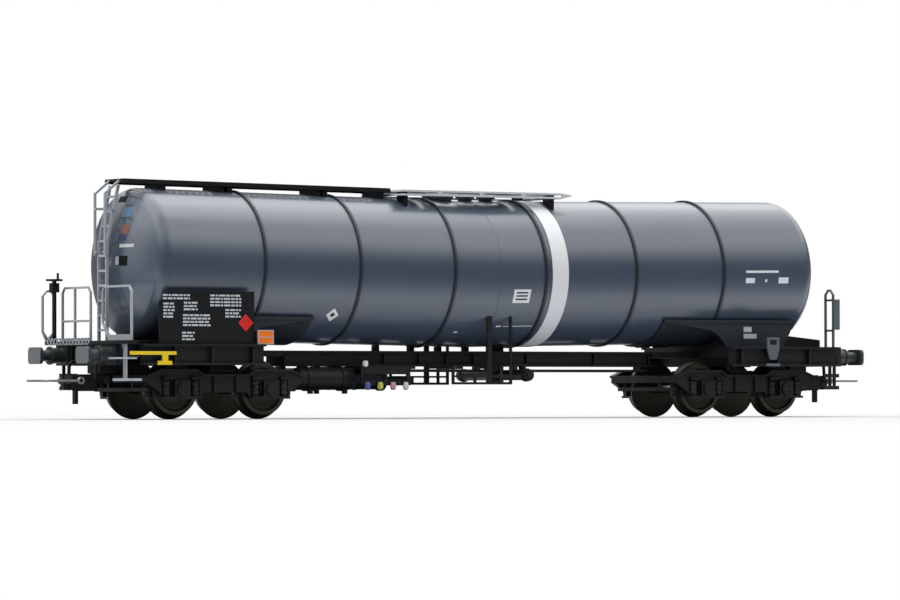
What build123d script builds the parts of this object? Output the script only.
from build123d import *
import os
from math import asin, cos, degrees, radians, sin, sqrt, tan

# H0 model of a four-axle tank wagon with a kinked tank, in millimetres.
# X runs along the wagon, Y across it, Z up from the flange bottoms.
# End A, with the handbrake and the ladder, is at -X.
os.makedirs("parts", exist_ok=True)

# Clearances
SEAT = 0.02          # between pieces that rest on each other's curved faces
RUN = 0.06           # radial play of a pin in its hole
FREE = 0.15          # between faces that slide past each other

# Wheelsets
TREAD_R = 5.15
FLANGE_R = TREAD_R + 0.85
FLANGE_W = 0.9
AXLE_Z = FLANGE_R
WHEEL_IN = 7.2       # half the back-to-back distance
WHEEL_OUT = WHEEL_IN + 2.8
AXLE_R = 0.9
JOURNAL_R = 0.6

# Bogies
WHEELBASE = 20.7
AXLES = (-WHEELBASE / 2, WHEELBASE / 2)
SIDE_IN = WHEEL_OUT + 1.0
SIDE_OUT = SIDE_IN + 1.2
BOX_OUT = SIDE_OUT + 1.0
JOURNAL_Y = SIDE_OUT + 0.1
BEAM_W = 1.0
BOGIE_HALF = WHEELBASE / 2 + FLANGE_R + 1.85
BOLSTER_HALF = 3.0
BOLSTER_LOW = AXLE_Z + 2.1
BOLSTER_TOP = AXLE_Z + 4.0
PIN_R = 2.0
SPRING_R = 1.0
SPRING_OFF = 3.3     # spring centre from axle centre
SPRING_LOW = AXLE_Z - 1.4
SPRING_TOP = AXLE_Z + 2.0
SHOE_GAP = 0.35
SHOE_T = 1.0

# Tank: each half rises from the kink in the middle towards its end
TANK_R = 15.35
TANK_HALF = 78.5     # straight length of each half
KINK = 0.9           # degrees
CROWN_R = 2 * TANK_R - 0.2
KNUCKLE_R = 3.2
RING_W = 0.55
RING_H = 0.35
RING_X = (0.144 * TANK_HALF, 0.437 * TANK_HALF, 0.726 * TANK_HALF)
BAND_X = RING_X[0] + 1.5
BAND_W = 4.0
BAND_T = 0.12

# Underframe
PIVOT_X = TANK_HALF - 13.8
SILL_LOW = AXLE_Z + 4.9
SILL_TOP = SILL_LOW + 4.2
SILL_OUT = TANK_R + 1.65
SILL_IN = SILL_OUT - 1.6
SILL_X = PIVOT_X - 6.9
FLANGE_T = 0.45
WEB_T = 0.5
FLOOR_LOW = AXLE_Z + FLANGE_R + 0.8
SWING_X = PIVOT_X + BOGIE_HALF + 2.5
HEAD_IN = SWING_X + 2.8
HEAD_OUT = HEAD_IN + 1.2
SILL_END = HEAD_IN - 2.0
CENTRE_X = PIVOT_X - BOGIE_HALF - 0.5
CENTRE_Y = 4.0
CENTRE_LOW = SILL_LOW - 0.1
CENTRE_TOP = CENTRE_LOW + 3.2
TANK_Z = SILL_TOP - 0.2 + TANK_R

# Saddles
WRAP_ANGLE = 47.5    # degrees from the lowest line of the barrel
WRAP_T = 0.5
WRAP_X = PIVOT_X - 21.1
SADDLE_IN = PIVOT_X - 5.0
SADDLE_OUT = PIVOT_X + 12.3

# Ends
BAR = 0.45           # thickness of etched bars and rails
HEAD_Y = SILL_OUT - 3.3   # half width of the headstock
HEAD_W = 5.2
HEAD_H = 3.4
BUFFER_Y = HEAD_Y - HEAD_W / 2 - 1.04
BUFFER_Z = SILL_LOW + 2.0
BUFFER_LEN = 7.0
DECK_T = 0.7
DECK_TOP = SILL_TOP + DECK_T
DECK_OUT = HEAD_OUT + 1.6
DECK_Y = SILL_OUT - 1.4
RAIL_H = 11.1

# Couplings
DRAW_LOW = AXLE_Z + 1.3
DRAW_TOP = DRAW_LOW + 1.8
SWING_R = 0.8
POCKET_OUT = HEAD_OUT + 2.6
LIFT_X = POCKET_OUT + 1.4
LIFT_Z = DRAW_LOW + 0.5
LIFT_R = 0.3
LOOP_X = LIFT_X + 8.1
LOOP_Y = 4.5
LOOP_T = 0.6

ENDS = (("a", -1), ("b", 1))
SIDES = (-1, 1)


def block(x, y, z, mode=Mode.ADD):
    """A box given by its two limits along each axis."""
    with Locations(((x[0] + x[1]) / 2, (y[0] + y[1]) / 2, (z[0] + z[1]) / 2)):
        Box(abs(x[1] - x[0]), abs(y[1] - y[0]), abs(z[1] - z[0]), mode=mode)


def rod_x(y, z, radius, x, mode=Mode.ADD):
    """A round bar along X."""
    with Locations(Plane(((x[0] + x[1]) / 2, y, z), z_dir=(1, 0, 0))):
        Cylinder(radius, abs(x[1] - x[0]), mode=mode)


def rod_y(x, z, radius, y, mode=Mode.ADD):
    """A round bar along Y."""
    with Locations(Plane((x, (y[0] + y[1]) / 2, z), z_dir=(0, 1, 0))):
        Cylinder(radius, abs(y[1] - y[0]), mode=mode)


def post(x, y, radius, z, mode=Mode.ADD):
    """An upright round bar."""
    with Locations((x, y, (z[0] + z[1]) / 2)):
        Cylinder(radius, abs(z[1] - z[0]), mode=mode)


def plate_xz(points, y, mode=Mode.ADD):
    """An upright plate along the wagon, from its outline and its two limits along Y."""
    with BuildSketch(Plane.XZ.offset(-y[0])) as outline:
        with BuildLine():
            Polyline(*points, close=True)
        make_face()
    extrude(outline.sketch, amount=y[0] - y[1], mode=mode)


def plate_yz(points, x, mode=Mode.ADD):
    """An upright plate across the wagon, from its outline and its two limits along X."""
    with BuildSketch(Plane.YZ.offset(x[0])) as outline:
        with BuildLine():
            Polyline(*points, close=True)
        make_face()
    extrude(outline.sketch, amount=x[1] - x[0], mode=mode)


def save(piece, name):
    """Writes a finished piece under its name."""
    piece.label = name
    export_step(piece, f"parts/{name}.step")


def save_end(piece, name, end, side):
    """Writes a piece drawn for end B, or its mirror image for end A."""
    save(piece if side > 0 else mirror(piece, about=Plane.YZ), f"{name}_{end}")


# Tank barrel: turned about the rising axis, cut at the kink and mirrored
AXIS_DIR = (cos(radians(KINK)), 0, sin(radians(KINK)))
TANK_AXIS = Axis((0, 0, TANK_Z), AXIS_DIR)
TANK_PLANE = Plane((0, 0, TANK_Z), x_dir=AXIS_DIR, z_dir=(0, -1, 0))
CROWN_TURN = degrees(asin((TANK_R - KNUCKLE_R) / (CROWN_R - KNUCKLE_R)))
CROWN_MID = TANK_HALF - (CROWN_R - KNUCKLE_R) * cos(radians(CROWN_TURN))
TANK_TIP = CROWN_MID + CROWN_R


def axis_z(x):
    """Height of the tank axis at a distance from the kink."""
    return TANK_Z + abs(x) * tan(radians(KINK))


def roof_z(x):
    """Height of the highest line of the barrel."""
    return axis_z(x) + TANK_R / cos(radians(KINK))


def barrel(grow):
    """The kinked barrel with dished ends, enlarged on all sides by grow."""
    with BuildPart() as body:
        with BuildSketch(TANK_PLANE):
            with BuildLine():
                Line((-TANK_R / 4, 0), (-TANK_R / 4, TANK_R + grow))
                shell = Line((-TANK_R / 4, TANK_R + grow), (TANK_HALF, TANK_R + grow))
                bend = JernArc(shell @ 1, (1, 0), KNUCKLE_R + grow, CROWN_TURN - 90)
                dish = JernArc(bend @ 1, bend % 1, CROWN_R + grow, -CROWN_TURN)
                Line(dish @ 1, (-TANK_R / 4, 0))
            make_face()
        revolve(axis=TANK_AXIS)
        split(bisect_by=Plane.YZ, keep=Keep.TOP)
        mirror(about=Plane.YZ)
    return body.part


def hoops(places, width, inner, outer):
    """Rings about the rising axis at distances from the kink."""
    with BuildPart() as body:
        with BuildSketch(TANK_PLANE):
            with Locations([(x, (inner + outer) / 2) for x in places]):
                Rectangle(width, outer - inner)
        revolve(axis=TANK_AXIS)
    return body.part


tank_barrel = barrel(0)
tank_space = barrel(SEAT)
save(tank_barrel, "tank_barrel")

RING_R = TANK_R + SEAT + RING_H
rings = hoops(RING_X, RING_W, TANK_R + SEAT, RING_R)
ring_space = hoops(RING_X, RING_W + 2 * SEAT, TANK_R, RING_R + SEAT)
with BuildPart() as tank_rings:
    add(rings)
    mirror(about=Plane.YZ)
save(tank_rings.part, "tank_rings")
save(hoops((BAND_X + BAND_W / 2,), BAND_W, TANK_R + SEAT, TANK_R + SEAT + BAND_T), "tank_band")

# Manhole and vent on top of the barrel, inside the dome platform
LID_T = 0.7
DOME_LOW = roof_z(0) + 0.6
LIDS = (  # x, neck radius, lid radius, height above the barrel
    (-6.0, 2.9, 3.3, 0.9),
    (0.8, 1.5, 2.0, 1.2),
    (6.0, 1.5, 2.0, 1.2),
)
with BuildPart() as manhole_lids:
    for x, neck, lid, rise in LIDS:
        top = roof_z(x) + rise
        post(x, 0, neck, (roof_z(x) - 1.5, top))
        post(x, 0, lid, (top - LID_T, top))
    add(tank_space, mode=Mode.SUBTRACT)
save(manhole_lids.part, "manhole_lids")

# Saddles: a wrapper plate under the barrel, side plates with a hollow inner edge and a cross web
SADDLE_TOP = axis_z(SADDLE_IN) - TANK_R * cos(radians(WRAP_ANGLE))
SADDLE_Y = (TANK_R + WRAP_T) * sin(radians(WRAP_ANGLE)) + 0.3
EDGE_H = 0.6
with BuildPart() as saddle:
    for side in SIDES:
        inner, outer = side * (SADDLE_Y - 0.8), side * SADDLE_Y
        with BuildSketch(Plane.XZ.offset(-inner)):
            with BuildLine():
                foot = Line((SADDLE_OUT - 2.0, SILL_TOP), (SADDLE_IN, SILL_TOP))
                arch = RadiusArc(foot @ 1, (SADDLE_IN - 5.2, SADDLE_TOP - 2.0), -6.0)
                Polyline(
                    arch @ 1,
                    (WRAP_X, SADDLE_TOP - EDGE_H),
                    (WRAP_X, SADDLE_TOP),
                    (SADDLE_OUT, SADDLE_TOP),
                    (SADDLE_OUT, SADDLE_TOP - 2.5),
                    foot @ 0,
                )
            make_face()
        extrude(amount=inner - outer)
        block((WRAP_X, SADDLE_OUT), (inner, side * (SADDLE_Y + 0.3)), (SADDLE_TOP - EDGE_H, SADDLE_TOP))
    web_y = SADDLE_Y - 0.4
    block((SADDLE_IN + 0.5, SADDLE_OUT - 2.5), (-web_y, web_y), (SILL_TOP, SADDLE_TOP - EDGE_H))
    for side in SIDES:
        with BuildSketch(TANK_PLANE):
            with Locations(((WRAP_X + SADDLE_OUT) / 2, -TANK_R - WRAP_T / 2)):
                Rectangle(SADDLE_OUT - WRAP_X, WRAP_T)
        revolve(axis=TANK_AXIS, revolution_arc=side * WRAP_ANGLE)
    add(tank_space, mode=Mode.SUBTRACT)
    add(ring_space, mode=Mode.SUBTRACT)
for end, side in ENDS:
    save_end(saddle.part, "saddle", end, side)

# Centre sill: two channels tied by cross plates, with blocks under the barrel
PAD_X = (-0.273 * TANK_HALF, -0.163 * TANK_HALF, -0.077 * TANK_HALF, 0.01 * TANK_HALF)
CROSS_X = PAD_X + (0.18 * TANK_HALF, 0.4 * TANK_HALF, 0.5 - CENTRE_X, CENTRE_X - 0.5)
with BuildPart() as centre_sill:
    for side in SIDES:
        block((-CENTRE_X, CENTRE_X), (side * (CENTRE_Y - 1.4), side * CENTRE_Y), (CENTRE_LOW, CENTRE_TOP))
        block(
            (-CENTRE_X, CENTRE_X),
            (side * (CENTRE_Y - 1.4 + WEB_T), side * CENTRE_Y),
            (CENTRE_LOW + FLANGE_T, CENTRE_TOP - FLANGE_T),
            mode=Mode.SUBTRACT,
        )
    for x in CROSS_X:
        block((x - 0.5, x + 0.5), (1.4 - CENTRE_Y, CENTRE_Y - 1.4), (CENTRE_LOW, CENTRE_TOP))
        for side in SIDES:
            rib_y = (side * (CENTRE_Y - 1.4), side * (CENTRE_Y - 0.3))
            block((x - 0.2, x + 0.2), rib_y, (CENTRE_LOW, CENTRE_TOP))
    for x in PAD_X:
        block((x - 0.5, x + 0.5), (-0.8, 0.8), (CENTRE_TOP, SILL_TOP + 1.5))
    add(tank_space, mode=Mode.SUBTRACT)
    add(ring_space, mode=Mode.SUBTRACT)
    add(mirror(ring_space, about=Plane.YZ), mode=Mode.SUBTRACT)
save(centre_sill.part, "centre_sill")

# End frames: headstock, stiffened side sills, floor, bolster with the bogie pin, block with the coupling pin
BOLSTER_X = BOLSTER_HALF + 0.2
STIFF_X = (PIVOT_X - 4.0, PIVOT_X + 5.5, PIVOT_X + 14.0)
with BuildPart() as end_frame:
    for side in SIDES:
        block((SILL_X, SILL_END), (side * SILL_IN, side * SILL_OUT), (SILL_LOW, SILL_TOP))
        block(
            (SILL_X, SILL_END),
            (side * (SILL_IN + WEB_T), side * SILL_OUT),
            (SILL_LOW + FLANGE_T, SILL_TOP - FLANGE_T),
            mode=Mode.SUBTRACT,
        )
        for x in STIFF_X:
            block((x - 0.25, x + 0.25), (side * SILL_IN, side * (SILL_OUT - 0.2)), (SILL_LOW, SILL_TOP))
    block((HEAD_IN, HEAD_OUT), (-HEAD_Y, HEAD_Y), (SILL_LOW, SILL_TOP))
    for side in SIDES:
        block(
            (HEAD_OUT - 0.4, HEAD_OUT),
            (side * 3.4, side * (BUFFER_Y - 3.2)),
            (SILL_LOW + FLANGE_T, SILL_TOP - FLANGE_T),
            mode=Mode.SUBTRACT,
        )
    block((CENTRE_X, HEAD_IN), (-CENTRE_Y, CENTRE_Y), (FLOOR_LOW, CENTRE_TOP))
    block((SILL_X, SILL_END), (-SILL_IN, SILL_IN), (FLOOR_LOW, SILL_TOP))
    block((SILL_END, HEAD_IN), (-HEAD_Y, HEAD_Y), (FLOOR_LOW, SILL_TOP))
    block((PIVOT_X - BOLSTER_X, PIVOT_X + BOLSTER_X), (-SILL_IN, SILL_IN), (SILL_LOW, SILL_TOP))
    post(PIVOT_X, 0, 1.8 * PIN_R, (BOLSTER_TOP + FREE, SILL_LOW))
    post(PIVOT_X, 0, PIN_R, (BOLSTER_LOW, SILL_LOW))
    block((SWING_X - 2 * SWING_R, HEAD_IN), (-2.6, 2.6), (DRAW_TOP + FREE, FLOOR_LOW))
    post(SWING_X, 0, SWING_R, (DRAW_LOW, DRAW_TOP + FREE))
for end, side in ENDS:
    save_end(end_frame.part, "end_frame", end, side)

# Buffers: base plate, sleeve, plunger and oblong head
BUFFER_X = HEAD_OUT + BUFFER_LEN
with BuildPart() as buffers:
    for side in SIDES:
        y = side * BUFFER_Y
        block((HEAD_OUT, HEAD_OUT + 0.5), (y - 2.0, y + 2.0), (BUFFER_Z - 1.8, BUFFER_Z + 1.8))
        rod_x(y, BUFFER_Z, 1.6, (HEAD_OUT, HEAD_OUT + 3.6))
        rod_x(y, BUFFER_Z, 1.85, (HEAD_OUT + 3.1, HEAD_OUT + 3.6))
        rod_x(y, BUFFER_Z, 1.15, (HEAD_OUT, BUFFER_X - 0.4))
        with BuildSketch(Plane((BUFFER_X - 0.75, y, BUFFER_Z), x_dir=(0, 1, 0), z_dir=(1, 0, 0))):
            RectangleRounded(HEAD_W, HEAD_H, 0.9)
        extrude(amount=0.75)
for end, side in ENDS:
    save_end(buffers.part, "buffers", end, side)

# Brake hoses under the headstocks, stiff mouldings plugged into the headstock
HOSE_R = 0.35
HOSE_Y = BUFFER_Y - 4.46
with BuildPart() as air_hoses:
    for side in SIDES:
        y = side * HOSE_Y
        with BuildLine() as run:
            Polyline(
                (HEAD_OUT, y, SILL_LOW + 0.7),
                (HEAD_OUT + 0.6, y, SILL_LOW + 0.7),
                (HEAD_OUT + 1.3, y, SILL_LOW + 0.2),
                (HEAD_OUT + 1.5, y, SILL_LOW - 2.6),
                (HEAD_OUT + 1.0, y - side * 0.8, SILL_LOW - 4.0),
            )
        with BuildSketch(Plane((HEAD_OUT, y, SILL_LOW + 0.7), z_dir=(1, 0, 0))):
            Circle(HOSE_R)
        sweep(path=run.line, transition=Transition.RIGHT)
    mirror(about=Plane.YZ)
save(air_hoses.part, "air_hoses")

# Deck at the handbrake end, on the headstock and the floor of the end frame
with BuildPart() as end_deck:
    block((-DECK_OUT, -SILL_END - 0.3), (-DECK_Y, DECK_Y), (SILL_TOP, DECK_TOP))
    block((-HEAD_IN, -SADDLE_OUT - 0.5), (-SADDLE_Y, SADDLE_Y), (SILL_TOP, DECK_TOP))
    for k in range(4):
        x = -DECK_OUT + 0.6 + 0.95 * k
        for side in SIDES:
            block((x, x + 0.5), (side * 1.2, side * (DECK_Y - 0.8)), (SILL_TOP, DECK_TOP), mode=Mode.SUBTRACT)
    add(tank_space, mode=Mode.SUBTRACT)
save(end_deck.part, "end_deck")

# Railings: two frames in front of the tank, and a hoop with a pointed foot beside the handbrake
RAIL_TOP = DECK_TOP + RAIL_H
RAIL_X = -HEAD_IN + 0.5
CORNER = 1.2
FRAME_Y = (2.3, DECK_Y - 1.0)
FOOT_Y = FRAME_Y[0] + 3.0   # where the near frame's sloping foot meets the deck
FOOT_H = 3.6
KICK_H = 1.2
KNEE_Z = DECK_TOP + 0.35 * RAIL_H
MID_Y = FRAME_Y[0] + 6.6
HOOP_X = (-DECK_OUT - 0.8, -DECK_OUT + 2.4)
FOOT_X = -DECK_OUT + 0.6


def arch(inner, outer, top, shrink, low):
    """Outline of a frame with cut-off top corners, drawn in by shrink."""
    return [
        (inner + shrink, low),
        (inner + shrink, top - CORNER),
        (inner + CORNER, top - shrink),
        (outer - CORNER, top - shrink),
        (outer - shrink, top - CORNER),
        (outer - shrink, low),
    ]


with BuildPart() as end_railing:
    x = (RAIL_X, RAIL_X + BAR)
    plate_yz(arch(*FRAME_Y, RAIL_TOP, 0, DECK_TOP), x)
    plate_yz(arch(*FRAME_Y, RAIL_TOP, BAR, DECK_TOP + BAR), x, mode=Mode.SUBTRACT)
    block(x, FRAME_Y, (KNEE_Z, KNEE_Z + BAR))
    block(x, (MID_Y, MID_Y + BAR), (DECK_TOP, RAIL_TOP))
    rim = arch(*FRAME_Y, RAIL_TOP, 0, DECK_TOP)
    rim[0:1] = [(FOOT_Y, DECK_TOP), (FRAME_Y[0], DECK_TOP + FOOT_H)]
    opening = arch(*FRAME_Y, RAIL_TOP, BAR, DECK_TOP + KICK_H)
    opening[0:1] = [(FOOT_Y, DECK_TOP + KICK_H), (FRAME_Y[0] + BAR, DECK_TOP + FOOT_H)]
    plate_yz([(-y, z) for y, z in rim], x)
    plate_yz([(-y, z) for y, z in opening], x, mode=Mode.SUBTRACT)
    y = (DECK_Y - BAR, DECK_Y)
    rim = arch(*HOOP_X, RAIL_TOP - 0.6, 0, DECK_TOP + 2.0)
    rim += [(FOOT_X + 0.5, DECK_TOP), (FOOT_X - 0.5, DECK_TOP)]
    plate_xz(rim, y)
    opening = arch(*HOOP_X, RAIL_TOP - 0.6, BAR, DECK_TOP + 2.1) + [(FOOT_X, DECK_TOP + 0.7)]
    plate_xz(opening, y, mode=Mode.SUBTRACT)
save(end_railing.part, "end_railing")

# Handbrake: column with gearbox, wheel and crank
BRAKE_X = -DECK_OUT + 1.0
BRAKE_Y = DECK_Y - 2.3
with BuildPart() as handbrake_column:
    post(BRAKE_X, BRAKE_Y, 0.45, (DECK_TOP, RAIL_TOP + 1.5))
    block((BRAKE_X - 0.75, BRAKE_X + 0.75), (BRAKE_Y - 0.8, BRAKE_Y + 0.8), (RAIL_TOP - 1.1, RAIL_TOP + 0.8))
    post(BRAKE_X, BRAKE_Y, 1.7, (RAIL_TOP + 1.2, RAIL_TOP + 1.6))
    post(BRAKE_X, BRAKE_Y, 1.3, (RAIL_TOP + 1.2, RAIL_TOP + 1.6), mode=Mode.SUBTRACT)
    block((BRAKE_X - 1.4, BRAKE_X + 1.4), (BRAKE_Y - 0.2, BRAKE_Y + 0.2), (RAIL_TOP + 1.2, RAIL_TOP + 1.6))
    post(BRAKE_X, BRAKE_Y - 1.5, 0.25, (RAIL_TOP + 1.3, RAIL_TOP + 2.8))
save(handbrake_column.part, "handbrake_column")

# Roof walkway: a channel with a slotted tread, from the ladder to the dome platform
WALK_Y = 3.8
WALK_T = 0.95
TREAD_T = 0.45
DOME_X = 20.0
WALK_OUT = TANK_TIP - 1.0
WALK_HIGH = roof_z(RING_X[2]) + RING_H + 1.7
WALK_LOW = roof_z(RING_X[1]) + RING_H + 1.35
SLOT_N = 40


def walk_z(x):
    """Height of the walkway's tread, falling from the ladder to the dome platform."""
    return WALK_LOW + (WALK_HIGH - WALK_LOW) * (abs(x) - DOME_X) / (WALK_OUT - DOME_X)


def walk_outline(top, bottom):
    """Outline of the walkway between two depths below its tread."""
    ends = (-WALK_OUT, -DOME_X)
    return [(x, walk_z(x) - top) for x in ends] + [(x, walk_z(x) - bottom) for x in ends[::-1]]


with BuildPart() as roof_walkway:
    plate_xz(walk_outline(0, WALK_T), (-WALK_Y, WALK_Y))
    plate_xz(walk_outline(TREAD_T, WALK_T + 1), (BAR - WALK_Y, WALK_Y - BAR), mode=Mode.SUBTRACT)
    pitch = (WALK_OUT - DOME_X - 2.0) / SLOT_N
    for k in range(SLOT_N):
        x = -WALK_OUT + 1.0 + pitch * (k + 0.5)
        slot = (x - 0.25 * pitch, x + 0.25 * pitch)
        block(slot, (1.0 - WALK_Y, WALK_Y - 1.0), (walk_z(x) - 1, walk_z(x) + 1), mode=Mode.SUBTRACT)
save(roof_walkway.part, "roof_walkway")

# Dome platform: a slotted tread with side boards, open around the lids
DOME_Y = 8.0
DOME_TOP = DOME_LOW + 1.25
TAPER = 3.0
with BuildPart() as dome_platform:
    block((-DOME_X, DOME_X), (-DOME_Y, DOME_Y), (DOME_LOW, DOME_TOP))
    inside = (BAR - DOME_Y, DOME_Y - BAR)
    block((BAR - DOME_X, DOME_X - BAR), inside, (DOME_LOW, DOME_TOP - TREAD_T), mode=Mode.SUBTRACT)
    for side in SIDES:
        plate_xz(
            [(DOME_X, DOME_TOP), (DOME_X + TAPER, DOME_TOP - 0.5), (DOME_X, DOME_LOW)],
            (side * DOME_Y, side * (DOME_Y - BAR)),
        )
    through = (DOME_LOW - 1, DOME_TOP + 1)
    for k in (-0.78, -0.26, 0.26, 0.78):
        window = (DOME_X * (k - 0.23), DOME_X * (k + 0.23))
        block(window, (-DOME_Y, DOME_Y), (DOME_LOW + 0.4, DOME_TOP - TREAD_T), mode=Mode.SUBTRACT)
    for x, neck, lid, rise in LIDS:
        room = lid + 0.4
        block((x - room, x + room), (-room, room), through, mode=Mode.SUBTRACT)
    for k in (-0.8, -0.6, 0.525, 0.7, 0.875):
        slot = (DOME_X * k - 0.5, DOME_X * k + 0.5)
        block(slot, (2.0 - DOME_Y, DOME_Y - 2.0), through, mode=Mode.SUBTRACT)
save(dome_platform.part, "dome_platform")

# Brackets that carry the walkway and the platform on the barrel
WALK_FEET = (
    -RING_X[2] - 17.0,
    -RING_X[2] - 3.4,
    -RING_X[2] - 1.4,
    -RING_X[1] - 3.0,
    -RING_X[1] - 1.4,
    -DOME_X - 2.0,
)
DOME_FEET = (-DOME_X + 1.5, BAND_X + BAND_W + 1.2)
with BuildPart() as walkway_brackets:
    for x in WALK_FEET:
        block((x - 0.6, x + 0.6), (BAR - WALK_Y, WALK_Y - BAR), (roof_z(x) - 2.0, walk_z(x)))
    plate_xz(walk_outline(-2, TREAD_T), (-WALK_Y, WALK_Y), mode=Mode.SUBTRACT)
    for x in DOME_FEET:
        for side in SIDES:
            foot_y = (side * 4.4, side * (DOME_Y - BAR))
            block((x - 0.4, x + 0.4), foot_y, (roof_z(x) - 4.0, DOME_TOP - TREAD_T))
    add(tank_space, mode=Mode.SUBTRACT)
save(walkway_brackets.part, "walkway_brackets")

# End ladder: rises from the deck and leans in over the dished end, with hand rails up to the walkway
LADDER_Y = 1.65
LADDER_X = -TANK_TIP - 1.5
LEAN_Z = axis_z(TANK_HALF) + 4.0
LADDER_TOP = roof_z(TANK_HALF) + 0.4
LEAN = 2.6
RUNGS = 10
GRIP_OFF = 0.9
GRIP_LOW = axis_z(TANK_HALF) + 1.5


def ladder_x(z):
    """Place of the ladder's middle plane at a height."""
    return LADDER_X + max(0.0, z - LEAN_Z) * LEAN / (LADDER_TOP - LEAN_Z)


with BuildPart() as end_ladder:
    for side in SIDES:
        y = (side * (LADDER_Y - BAR / 2), side * (LADDER_Y + BAR / 2))
        spine = [(ladder_x(z), z) for z in (DECK_TOP, LEAN_Z, LADDER_TOP)]
        plate_xz([(x - 0.3, z) for x, z in spine] + [(x + 0.3, z) for x, z in spine[::-1]], y)
        grip = [
            (LADDER_X - GRIP_OFF, GRIP_LOW),
            (LADDER_X - GRIP_OFF, LADDER_TOP - 1.6),
            (-WALK_OUT, WALK_HIGH - 0.2),
            (-WALK_OUT, WALK_HIGH - 0.8),
            (LADDER_X - GRIP_OFF + BAR, LADDER_TOP - 1.8),
            (LADDER_X - GRIP_OFF + BAR, GRIP_LOW),
        ]
        wide = (side * (LADDER_Y + BAR / 2), side * (LADDER_Y + BAR / 2 + BAR))
        plate_xz(grip, wide)
        for z in (GRIP_LOW + 0.5, LADDER_TOP - 5.0):
            block((LADDER_X - GRIP_OFF, ladder_x(z)), (y[0], wide[1]), (z, z + BAR))
    pitch = (LADDER_TOP - DECK_TOP - 1.5) / RUNGS
    for k in range(RUNGS):
        z = DECK_TOP + 2.2 + pitch * k
        block((ladder_x(z) - 0.25, ladder_x(z) + 0.25), (-LADDER_Y, LADDER_Y), (z - 0.25, z + 0.25))
    for z in (DECK_TOP + 12.0, LEAN_Z - 1.0):
        block((ladder_x(z), -CROWN_MID), (LADDER_Y - BAR / 2, LADDER_Y + BAR / 2), (z, z + BAR))
    add(tank_space, mode=Mode.SUBTRACT)
save(end_ladder.part, "end_ladder")

# Shunter's steps beside the headstock, at one corner of each end
STEP_IN = HEAD_Y + 0.2
STEP_OUT = SILL_OUT + 0.2
HANGER_X = HEAD_OUT - 0.5
TREADS = (  # inner x, outer x, lower z, upper z
    (HEAD_OUT - 1.6, HEAD_OUT + 3.1, AXLE_Z + 6.05, AXLE_Z + 6.4),
    (HEAD_OUT - 2.7, HEAD_OUT + 2.2, AXLE_Z + 1.7, AXLE_Z + 2.2),
)
with BuildPart() as corner_steps:
    for turn in SIDES:
        x = (turn * HANGER_X, turn * (HANGER_X + BAR))
        block(x, (turn * (STEP_IN + 0.3), turn * (STEP_IN + 1.3)), (TREADS[1][2], SILL_TOP))
        block(x, (turn * HEAD_Y, turn * (STEP_IN + 1.3)), (SILL_TOP - 0.8, SILL_TOP))
        for x0, x1, z0, z1 in TREADS:
            block((turn * x0, turn * x1), (turn * STEP_IN, turn * STEP_OUT), (z0, z1))
            for x in (x0 + 0.4, (x0 + x1) / 2 + 0.2):
                slot = (turn * x, turn * (x + (x1 - x0) / 2 - 0.6))
                block(slot, (turn * (STEP_IN + 1.6), turn * (STEP_OUT - 0.4)), (z0, z1), mode=Mode.SUBTRACT)
save(corner_steps.part, "corner_steps")

# Step boxes at the other two corners, hung from the floor of the end frame
BOX_X = (PIVOT_X + BOGIE_HALF + 1.1, HEAD_IN)
BOX_Y = (HEAD_Y - 0.6, HEAD_Y + 0.9)
BOX_LOW = AXLE_Z - 0.1
with BuildPart() as step_boxes:
    for turn in SIDES:
        leg_y = (-turn * BOX_Y[0], -turn * (BOX_Y[0] + BAR))
        for x in (SILL_END + 0.1, HEAD_IN - 0.7):
            block((turn * x, turn * (x + 0.6)), leg_y, (BOX_LOW, FLOOR_LOW))
        for z in (BOX_LOW, BOX_LOW + 2.6):
            tread_x = (turn * BOX_X[0], turn * BOX_X[1])
            block(tread_x, (-turn * BOX_Y[0], -turn * BOX_Y[1]), (z, z + 0.4))
            block(tread_x, (-turn * (BOX_Y[1] - 0.3), -turn * BOX_Y[1]), (z + 0.4, z + 0.8))
save(step_boxes.part, "step_boxes")

# Shunter's hoops and the raised boards at the plain end
HOOP_TOP = SILL_TOP + 12.6
HOOP_Y = (BUFFER_Y - 0.26, HEAD_Y - 0.7)
with BuildPart() as shunter_hoops:
    x = (HEAD_IN - BAR, HEAD_IN)
    for side in SIDES:
        y0, y1 = HOOP_Y
        plate_yz([(side * y, z) for y, z in arch(y0, y1, HOOP_TOP, 0, SILL_TOP)], x)
        opening = arch(y0, y1, HOOP_TOP, BAR, SILL_TOP)
        plate_yz([(side * y, z) for y, z in opening], x, mode=Mode.SUBTRACT)
        for z in (SILL_TOP + 3.4, HOOP_TOP - 2.6):
            block(x, (side * y0, side * y1), (z, z + BAR))
        block((x[0], HEAD_OUT), (side * (y1 - BAR), side * (y1 + 0.3)), (SILL_TOP + 3.8, HOOP_TOP - 2.2))
save(shunter_hoops.part, "shunter_hoops")

WEDGE_Y = HOOP_Y[0] - 1.6
with BuildPart() as end_boards:
    for side in SIDES:
        wedge = [(SADDLE_OUT, SILL_TOP), (SADDLE_OUT, SILL_TOP + 2.6)]
        wedge += [(HEAD_IN - 1.0, SILL_TOP + 1.6), (HEAD_IN - 1.0, SILL_TOP)]
        plate_xz(wedge, (side * WEDGE_Y, side * (WEDGE_Y + 0.8)))
    block((HEAD_IN - 1.6, HEAD_IN - 1.0), (-WEDGE_Y, WEDGE_Y), (SILL_TOP, SILL_TOP + 1.6))
save(end_boards.part, "end_boards")

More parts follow.
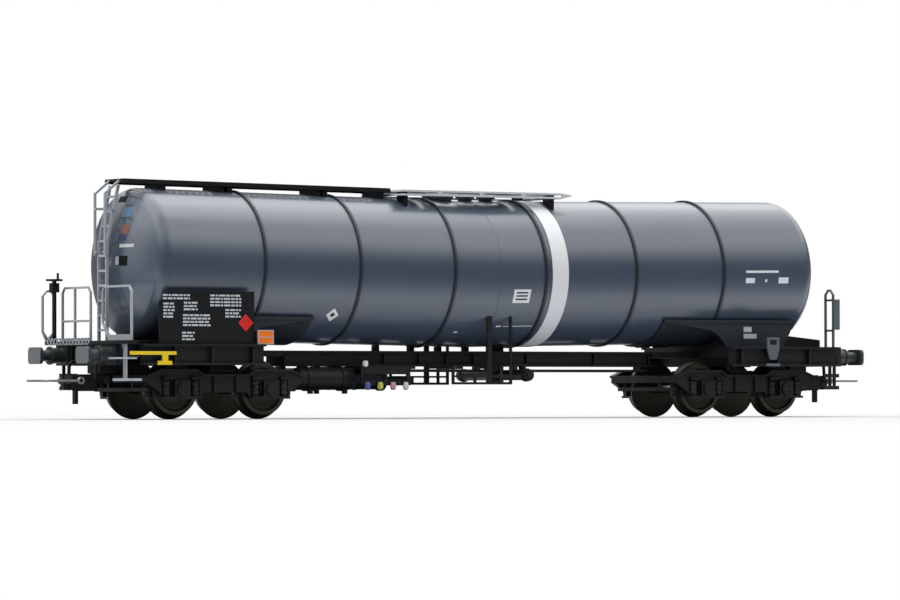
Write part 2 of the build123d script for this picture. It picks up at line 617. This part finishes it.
# Boards, plates and levers: the far side repeats the near side turned half round
BOARD_Y = SILL_IN + 0.1
BOARD_T = 0.4
BOARD_X = (PIVOT_X - 4.7, PIVOT_X + 17.3)
BOARD_TOP = axis_z(PIVOT_X) - 0.36 * TANK_R
with BuildPart() as inscription_boards:
    for turn in SIDES:
        inner, outer = BOARD_X
        outline = [(outer, SILL_TOP), (outer, BOARD_TOP - 2.1), (outer - 2.2, BOARD_TOP)]
        outline += [(inner, BOARD_TOP), (inner, SILL_TOP)]
        plate_xz([(turn * x, z) for x, z in outline], (turn * BOARD_Y, turn * (BOARD_Y + BOARD_T)))
        for x in (inner + 3.0, outer - 6.0):
            block((turn * x, turn * (x + 0.6)), (turn * SADDLE_Y, turn * BOARD_Y), (SILL_TOP, SILL_TOP + 3.0))
save(inscription_boards.part, "inscription_boards")

PLATE_W = 3.7
PLATE_H = 2.9
with BuildPart() as hazard_plates:
    for turn in SIDES:
        x = BOARD_X[0] - 0.3
        plate_y = (turn * (SILL_OUT - 0.6), turn * (SILL_OUT - 0.2))
        block((turn * (x - PLATE_W), turn * x), plate_y, (SILL_TOP, SILL_TOP + PLATE_H))
save(hazard_plates.part, "hazard_plates")

DIAMOND = 2.5
with BuildPart() as hazard_diamonds:
    for turn in SIDES:
        x = BOARD_X[0] + 2.1
        z = SILL_TOP + 4.3
        half = DIAMOND / sqrt(2)
        corners = [(x - half, z), (x, z + half), (x + half, z), (x, z - half)]
        face = BOARD_Y + BOARD_T
        plate_xz([(turn * u, w) for u, w in corners], (turn * face, turn * (face + 0.2)))
save(hazard_diamonds.part, "hazard_diamonds")

LEVER_X = PIVOT_X + 15.2
LEVER_Z = SILL_LOW + 2.0
with BuildPart() as brake_levers:
    for turn in SIDES:
        y = (turn * SILL_OUT, turn * (SILL_OUT + 0.4))
        block((turn * LEVER_X, turn * (LEVER_X + 3.2)), y, (SILL_LOW, SILL_LOW + 0.8))
        block((turn * (LEVER_X + 0.9), turn * (LEVER_X + 2.2)), y, (SILL_LOW + 0.8, LEVER_Z))
        block((turn * (LEVER_X - 1.0), turn * HEAD_OUT), y, (LEVER_Z, LEVER_Z + 0.7))
save(brake_levers.part, "brake_levers")

# Lifting brackets, one on each side sill, tapering down to a foot
BRACKET_X = PIVOT_X + 2.2
with BuildPart() as lift_brackets:
    for turn in SIDES:
        y = (-turn * SILL_OUT, -turn * (SILL_OUT + 0.4))
        shape = [(0, SILL_TOP + 2.0), (3.2, SILL_TOP + 2.0), (3.2, SILL_TOP - 0.4), (2.4, SILL_LOW + 1.4)]
        shape += [(0.8, SILL_LOW + 1.4), (0, SILL_TOP - 0.4)]
        plate_xz([(turn * (BRACKET_X + x), z) for x, z in shape], y)
        eye = (turn * (BRACKET_X + 0.7), turn * (BRACKET_X + 2.5))
        block(eye, y, (SILL_TOP + 0.4, SILL_TOP + 1.5), mode=Mode.SUBTRACT)
        block((turn * (BRACKET_X - 0.2), turn * (BRACKET_X + 3.4)), y, (SILL_LOW, SILL_LOW + 0.6))
save(lift_brackets.part, "lift_brackets")

# Brake gear under the centre sill
RES_R = 2.3
RES_Z = CENTRE_LOW - RES_R - 0.3
RES_Y = 5.6
RES_X = (-CENTRE_X + 1.9, -CENTRE_X + 14.6)
with BuildPart() as air_reservoir:
    for turn in SIDES:
        y = turn * RES_Y
        rod_x(y, RES_Z, RES_R, RES_X)
        for x in (RES_X[0] + 2.2, RES_X[1] - 2.2):
            rod_x(y, RES_Z, RES_R + 0.25, (x - 0.4, x + 0.4))
            block((x - 0.4, x + 0.4), (turn * 2.8, y), (CENTRE_LOW - 0.6, CENTRE_LOW))
            post(x + 1.2, y, 0.6, (RES_Z - RES_R - 0.8, RES_Z))
save(air_reservoir.part, "air_reservoir")

CYL_X = (RES_X[1] + 4.0, RES_X[1] + 11.5)
with BuildPart() as brake_cylinder:
    rod_x(0, RES_Z, 2.2, CYL_X)
    rod_x(0, RES_Z, 2.5, (CYL_X[1] - 0.9, CYL_X[1]))
    rod_x(0, RES_Z, 0.5, (CYL_X[1], CYL_X[1] + 6.0))
    for x in (CYL_X[0] + 1.0, CYL_X[1] - 2.0):
        block((x - 0.4, x + 0.4), (-3.4, 3.4), (CENTRE_LOW - 0.9, CENTRE_LOW))
save(brake_cylinder.part, "brake_cylinder")

# Changeover panels: a frame below the sill on each side with four handles
PANEL_X = (RES_X[1] + 0.4, RES_X[1] + 12.4)
PANEL_Y = 9.4
PANEL_LOW = CENTRE_LOW - 4.0
with BuildPart() as brake_panels:
    for turn in SIDES:
        y = (turn * PANEL_Y, turn * (PANEL_Y + BAR))
        block(PANEL_X, y, (PANEL_LOW, CENTRE_LOW))
        block((PANEL_X[0] + BAR, PANEL_X[1] - 0.9), y, (PANEL_LOW + 1.0, PANEL_LOW + 2.3), mode=Mode.SUBTRACT)
        for x in (PANEL_X[0] + 0.3, PANEL_X[1] - 0.9):
            block((x, x + 0.6), (turn * (CENTRE_Y - 1.0), y[1]), (CENTRE_LOW - 0.5, CENTRE_LOW))
save(brake_panels.part, "brake_panels")

with BuildPart() as brake_handles:
    for turn in SIDES:
        for k in range(4):
            x = PANEL_X[0] + 1.3 + 3.1 * k
            post(x, turn * (PANEL_Y + BAR + 0.4), 0.4, (PANEL_LOW - 0.9, PANEL_LOW + 0.4))
            lug_y = (turn * (PANEL_Y + BAR), turn * (PANEL_Y + BAR + 0.4))
            block((x - 0.7, x + 0.7), lug_y, (PANEL_LOW, PANEL_LOW + 0.9))
save(brake_handles.part, "brake_handles")

# Brake pipe along the bottom of the sill, in two runs before and behind the discharge valve
VALVE_X = 0.105 * TANK_HALF
PIPE_Z = CENTRE_LOW - 0.9
PIPE_Y = -CENTRE_Y - 0.6
with BuildPart() as brake_pipe:
    for x0, x1 in ((PANEL_X[1] + 1.0, VALVE_X - 2.4), (VALVE_X + 2.4, CENTRE_X - 2.0)):
        rod_x(PIPE_Y, PIPE_Z, 0.3, (x0, x1))
        for x in (x0 + 2.0, x1 - 2.0):
            block((x - 0.3, x + 0.3), (PIPE_Y - 0.3, 1.0 - CENTRE_Y), (PIPE_Z, CENTRE_LOW))
save(brake_pipe.part, "brake_pipe")

# Bottom discharge valve with a cross pipe and flanged outlets on both sides
OUTLET_Z = CENTRE_LOW - 1.8
OUTLET_Y = 12.4
with BuildPart() as discharge_valve:
    post(VALVE_X, 0, 1.9, (OUTLET_Z - 1.5, SILL_TOP + 1.5))
    rod_y(VALVE_X, OUTLET_Z, 1.1, (-OUTLET_Y, OUTLET_Y))
    for side in SIDES:
        rod_y(VALVE_X, OUTLET_Z, 1.4, (side * OUTLET_Y, side * (OUTLET_Y - 0.7)))
        post(VALVE_X, side * 7.2, 0.9, (OUTLET_Z, OUTLET_Z + 2.2))
        block((VALVE_X - 0.3, VALVE_X + 3.0), (side * 7.0, side * 7.4), (OUTLET_Z + 1.9, OUTLET_Z + 2.3))
    add(tank_space, mode=Mode.SUBTRACT)
save(discharge_valve.part, "discharge_valve")

with BuildPart() as outlet_caps:
    for side in SIDES:
        rod_y(VALVE_X, OUTLET_Z, 1.25, (side * OUTLET_Y, side * (OUTLET_Y + 0.8)))
        rod_y(VALVE_X, OUTLET_Z, 0.6, (side * OUTLET_Y, side * (OUTLET_Y + 1.2)))
save(outlet_caps.part, "outlet_caps")

# Step frames beside the outlets, with hangers up to the barrel
STEP_X = (-0.132 * TANK_HALF, VALVE_X - 3.7)
GUARD_Y = TANK_R - 3.35
FRAME_LOW = CENTRE_LOW - 3.8
GUARD_H = 1.9
FRAME_POSTS = (STEP_X[0], STEP_X[0] + 5.4, STEP_X[1] - 3.0, STEP_X[1] - 0.6)
HANGER_TOP = TANK_Z - sqrt(TANK_R ** 2 - GUARD_Y ** 2) + 1.0
with BuildPart() as valve_step_frames:
    for side in SIDES:
        y = (side * GUARD_Y, side * (GUARD_Y + BAR))
        block(STEP_X, y, (FRAME_LOW, FRAME_LOW + GUARD_H))
        for x0, x1 in zip(FRAME_POSTS, FRAME_POSTS[1:]):
            block((x0 + 0.6, x1), y, (FRAME_LOW + 0.5, FRAME_LOW + GUARD_H - 0.4), mode=Mode.SUBTRACT)
        for x in (FRAME_POSTS[0], FRAME_POSTS[2]):
            block((x, x + 0.6), y, (FRAME_LOW, CENTRE_LOW))
            block((x, x + 0.6), (side * (CENTRE_Y - 1.2), y[1]), (CENTRE_LOW - 0.5, CENTRE_LOW))
        for x, width in ((STEP_X[1] - 6.2, 1.2), (STEP_X[1] - 0.6, 0.6)):
            block((x, x + width), y, (FRAME_LOW, HANGER_TOP))
    add(tank_space, mode=Mode.SUBTRACT)
save(valve_step_frames.part, "valve_step_frames")

# Bogies are drawn about their own centre and set at each pivot
ARM_TOP = BOLSTER_TOP + 0.1
TOP_EDGE = ((5.2, ARM_TOP - 1.0), (6.6, ARM_TOP), (WHEELBASE / 2 + 4.8, ARM_TOP), (BOGIE_HALF, ARM_TOP - 1.2))
LOW_EDGE = (
    (WHEELBASE / 2 - 5.2, AXLE_Z - 0.6),
    (WHEELBASE / 2 - 4.4, SPRING_LOW - 0.5),
    (WHEELBASE / 2 + 4.4, SPRING_LOW - 0.5),
    (WHEELBASE / 2 + 4.7, AXLE_Z - 0.6),
    (BOGIE_HALF, AXLE_Z + 1.4),
)


def both_ways(points):
    """A line of points continued by its mirror image about the bogie's middle."""
    return [(-x, z) for x, z in points[::-1]] + list(points)


with BuildPart() as side_frames:
    plate_xz(both_ways(TOP_EDGE) + both_ways(LOW_EDGE)[::-1], (-SIDE_OUT, -SIDE_IN))
    lip = [(x, z - 0.45) for x, z in TOP_EDGE]
    plate_xz(both_ways(TOP_EDGE) + both_ways(lip)[::-1], (-SIDE_OUT - 0.6, -SIDE_OUT))
    for axle in AXLES:
        for s in SIDES:
            x = axle + s * SPRING_OFF
            hole = SPRING_R + 0.1
            block((x - hole, x + hole), (-SIDE_OUT, -SIDE_IN), (SPRING_LOW, SPRING_TOP), mode=Mode.SUBTRACT)
            block((x - hole, x + hole), (-BOX_OUT, -SIDE_OUT), (SPRING_TOP, SPRING_TOP + 0.5))
        block((axle - 4.4, axle + 4.4), (-BOX_OUT, -SIDE_OUT), (SPRING_LOW - 0.5, SPRING_LOW))
        block((axle - 1.8, axle + 1.8), (-BOX_OUT, -SIDE_OUT), (SPRING_LOW - 0.5, AXLE_Z + 1.8))
        rod_y(axle, AXLE_Z, 1.35, (-BOX_OUT - 0.5, -BOX_OUT))
        rod_y(axle, AXLE_Z, JOURNAL_R + RUN, (-JOURNAL_Y - RUN, -SIDE_IN), mode=Mode.SUBTRACT)
    for x in (-2.6, 2.6):
        block((x - 0.3, x + 0.3), (-SIDE_OUT - 0.5, -SIDE_OUT), (AXLE_Z - 0.6, ARM_TOP - 1.0))
    mirror(about=Plane.XZ)

with BuildPart() as coil:
    turns = 3
    pitch = (SPRING_TOP - SPRING_LOW) / turns
    with BuildSketch(Plane.XZ):
        with BuildLine():
            crest = [(SPRING_R, SPRING_LOW + pitch * (k + 0.5)) for k in range(turns)]
            root = [(0.8 * SPRING_R, SPRING_LOW + pitch * k) for k in range(turns + 1)]
            zigzag = [root[0]] + [p for k in range(turns) for p in (crest[k], root[k + 1])]
            Polyline((0, SPRING_LOW), *zigzag, (0, SPRING_TOP), close=True)
        make_face()
    revolve(axis=Axis.Z)

with BuildPart() as springs:
    for axle in AXLES:
        for s in SIDES:
            for side in SIDES:
                add(Pos(axle + s * SPRING_OFF, side * (SIDE_IN + SPRING_R), 0) * coil.part)

with BuildPart() as bolster:
    block((-BOLSTER_HALF, BOLSTER_HALF), (-SIDE_IN, SIDE_IN), (BOLSTER_LOW, BOLSTER_TOP))
    post(0, 0, PIN_R + RUN, (BOLSTER_LOW, BOLSTER_TOP), mode=Mode.SUBTRACT)

with BuildPart() as end_beams:
    for s in SIDES:
        block((s * (BOGIE_HALF - BEAM_W), s * BOGIE_HALF), (-SIDE_IN, SIDE_IN), (AXLE_Z + 1.4, ARM_TOP - 1.2))

# Brake shoes on cross beams, hung from the end beams and the bolster
SHOE_IN = TREAD_R + SHOE_GAP
SHOE_OUT = SHOE_IN + SHOE_T
SHOE_Y = (WHEEL_IN + FLANGE_W + 0.3, WHEEL_OUT - 0.2)
BEAM_Z = (AXLE_Z - 0.4, AXLE_Z + 0.4)
with BuildPart() as brake_gear:
    for axle in AXLES:
        with BuildSketch(Plane.XZ.offset(SHOE_Y[0])):
            with Locations((axle, AXLE_Z)):
                Circle(SHOE_OUT)
                Circle(SHOE_IN, mode=Mode.SUBTRACT)
                Rectangle(3 * SHOE_OUT, 3.0, mode=Mode.INTERSECT)
        extrude(amount=SHOE_Y[1] - SHOE_Y[0])
    mirror(about=Plane.XZ)
    for s in SIDES:
        out = WHEELBASE / 2 + SHOE_OUT - 0.1
        block((s * out, s * (out + 0.7)), (-SIDE_IN + 0.2, SIDE_IN - 0.2), BEAM_Z)
        inn = WHEELBASE / 2 - SHOE_OUT + 0.1
        block((s * inn, s * (inn - 0.7)), (-SHOE_Y[1], SHOE_Y[1]), BEAM_Z)
        for y in (-5.0, 5.0):
            hanger_x = (s * (BOGIE_HALF - BEAM_W), s * (out + 0.7))
            block(hanger_x, (y - 0.4, y + 0.4), (BEAM_Z[0], AXLE_Z + 1.4))
            block((s * (inn - 0.7), s * (inn - 1.3)), (y - 0.4, y + 0.4), (BEAM_Z[0], BOLSTER_LOW))

for end, side in ENDS:
    for name, piece in (
        ("side_frames", side_frames),
        ("springs", springs),
        ("bolster", bolster),
        ("end_beams", end_beams),
        ("brake_gear", brake_gear),
    ):
        save(Pos(side * PIVOT_X, 0, 0) * piece.part, f"bogie_{end}_{name}")

# Wheelsets: wheels with dished discs pressed on an axle with thinner journals
with BuildPart() as wheels:
    with BuildSketch(Plane.XY):
        with BuildLine():
            Polyline(
                (AXLE_R, WHEEL_IN),
                (FLANGE_R, WHEEL_IN),
                (FLANGE_R, WHEEL_IN + 0.4),
                (TREAD_R + 0.12, WHEEL_IN + FLANGE_W),
                (TREAD_R, WHEEL_OUT),
                (0.85 * TREAD_R, WHEEL_OUT),
                (0.79 * TREAD_R, WHEEL_OUT - 0.6),
                (AXLE_R + 1.1, WHEEL_OUT - 0.9),
                (AXLE_R + 0.8, WHEEL_OUT),
                (AXLE_R, WHEEL_OUT),
                close=True,
            )
        make_face()
    revolve(axis=Axis.Y)
    mirror(about=Plane.XZ)

with BuildPart() as axle_shaft:
    rod_y(0, 0, AXLE_R, (-WHEEL_OUT, WHEEL_OUT))
    rod_y(0, 0, JOURNAL_R, (-JOURNAL_Y, JOURNAL_Y))

WHEELSETS = [side * PIVOT_X + axle for end, side in ENDS for axle in AXLES]
for number, x in enumerate(WHEELSETS, start=1):
    save(Pos(x, 0, AXLE_Z) * wheels.part, f"wheels_{number}")
    save(Pos(x, 0, AXLE_Z) * axle_shaft.part, f"axle_{number}")

# Couplings: a pocket on a swinging drawbar, the plug-in hook, and the loop on a cross pin
with BuildPart() as pocket:
    block((SWING_X, POCKET_OUT), (-1.0, 1.0), (DRAW_LOW, DRAW_TOP))
    post(SWING_X, 0, 1.5, (DRAW_LOW, DRAW_TOP))
    block((HEAD_IN + 0.2, POCKET_OUT), (-2.0, 2.0), (DRAW_LOW - 1.6, DRAW_TOP))
    post(SWING_X, 0, SWING_R + RUN, (DRAW_LOW, DRAW_TOP), mode=Mode.SUBTRACT)

HOOK_LOW = DRAW_LOW - 1.4
HOOK_X = POCKET_OUT + 2.0
with BuildPart() as hook:
    block((POCKET_OUT, HOOK_X), (-1.7, 1.7), (HOOK_LOW, DRAW_TOP - 0.2))
    plate_xz(
        [
            (HOOK_X, HOOK_LOW),
            (HOOK_X + 1.4, HOOK_LOW + 0.2),
            (HOOK_X + 1.6, HOOK_LOW + 2.6),
            (HOOK_X + 0.9, HOOK_LOW + 1.8),
            (HOOK_X + 0.8, HOOK_LOW + 1.2),
            (HOOK_X, HOOK_LOW + 1.2),
        ],
        (-0.6, 0.6),
    )
    block((POCKET_OUT, POCKET_OUT + 0.8), (-0.5, 0.5), (HOOK_LOW - 2.8, HOOK_LOW))
    rod_y(LIFT_X, LIFT_Z, LIFT_R, (-LOOP_Y, LOOP_Y))

with BuildPart() as loop:
    back = LIFT_X - 0.7
    with BuildSketch(Plane.XY.offset(LIFT_Z - 0.25)):
        with Locations(((back + LOOP_X) / 2, 0)):
            RectangleRounded(LOOP_X - back, 2 * LOOP_Y, 1.2)
            RectangleRounded(LOOP_X - back - 2 * LOOP_T, 2 * (LOOP_Y - LOOP_T), 0.7, mode=Mode.SUBTRACT)
    extrude(amount=BAR)
    between = (-LOOP_Y + LOOP_T, LOOP_Y - LOOP_T)
    block((back, LIFT_X + 0.7), between, (LIFT_Z - 1, LIFT_Z + 1), mode=Mode.SUBTRACT)
    for side in SIDES:
        rod_y(LIFT_X, LIFT_Z, 0.75, (side * (LOOP_Y - LOOP_T), side * LOOP_Y))
    rod_y(LIFT_X, LIFT_Z, LIFT_R + RUN, (-LOOP_Y, LOOP_Y), mode=Mode.SUBTRACT)

for end, side in ENDS:
    save_end(pocket.part, "pocket", end, side)
    save_end(hook.part, "hook", end, side)
    save_end(loop.part, "loop", end, side)
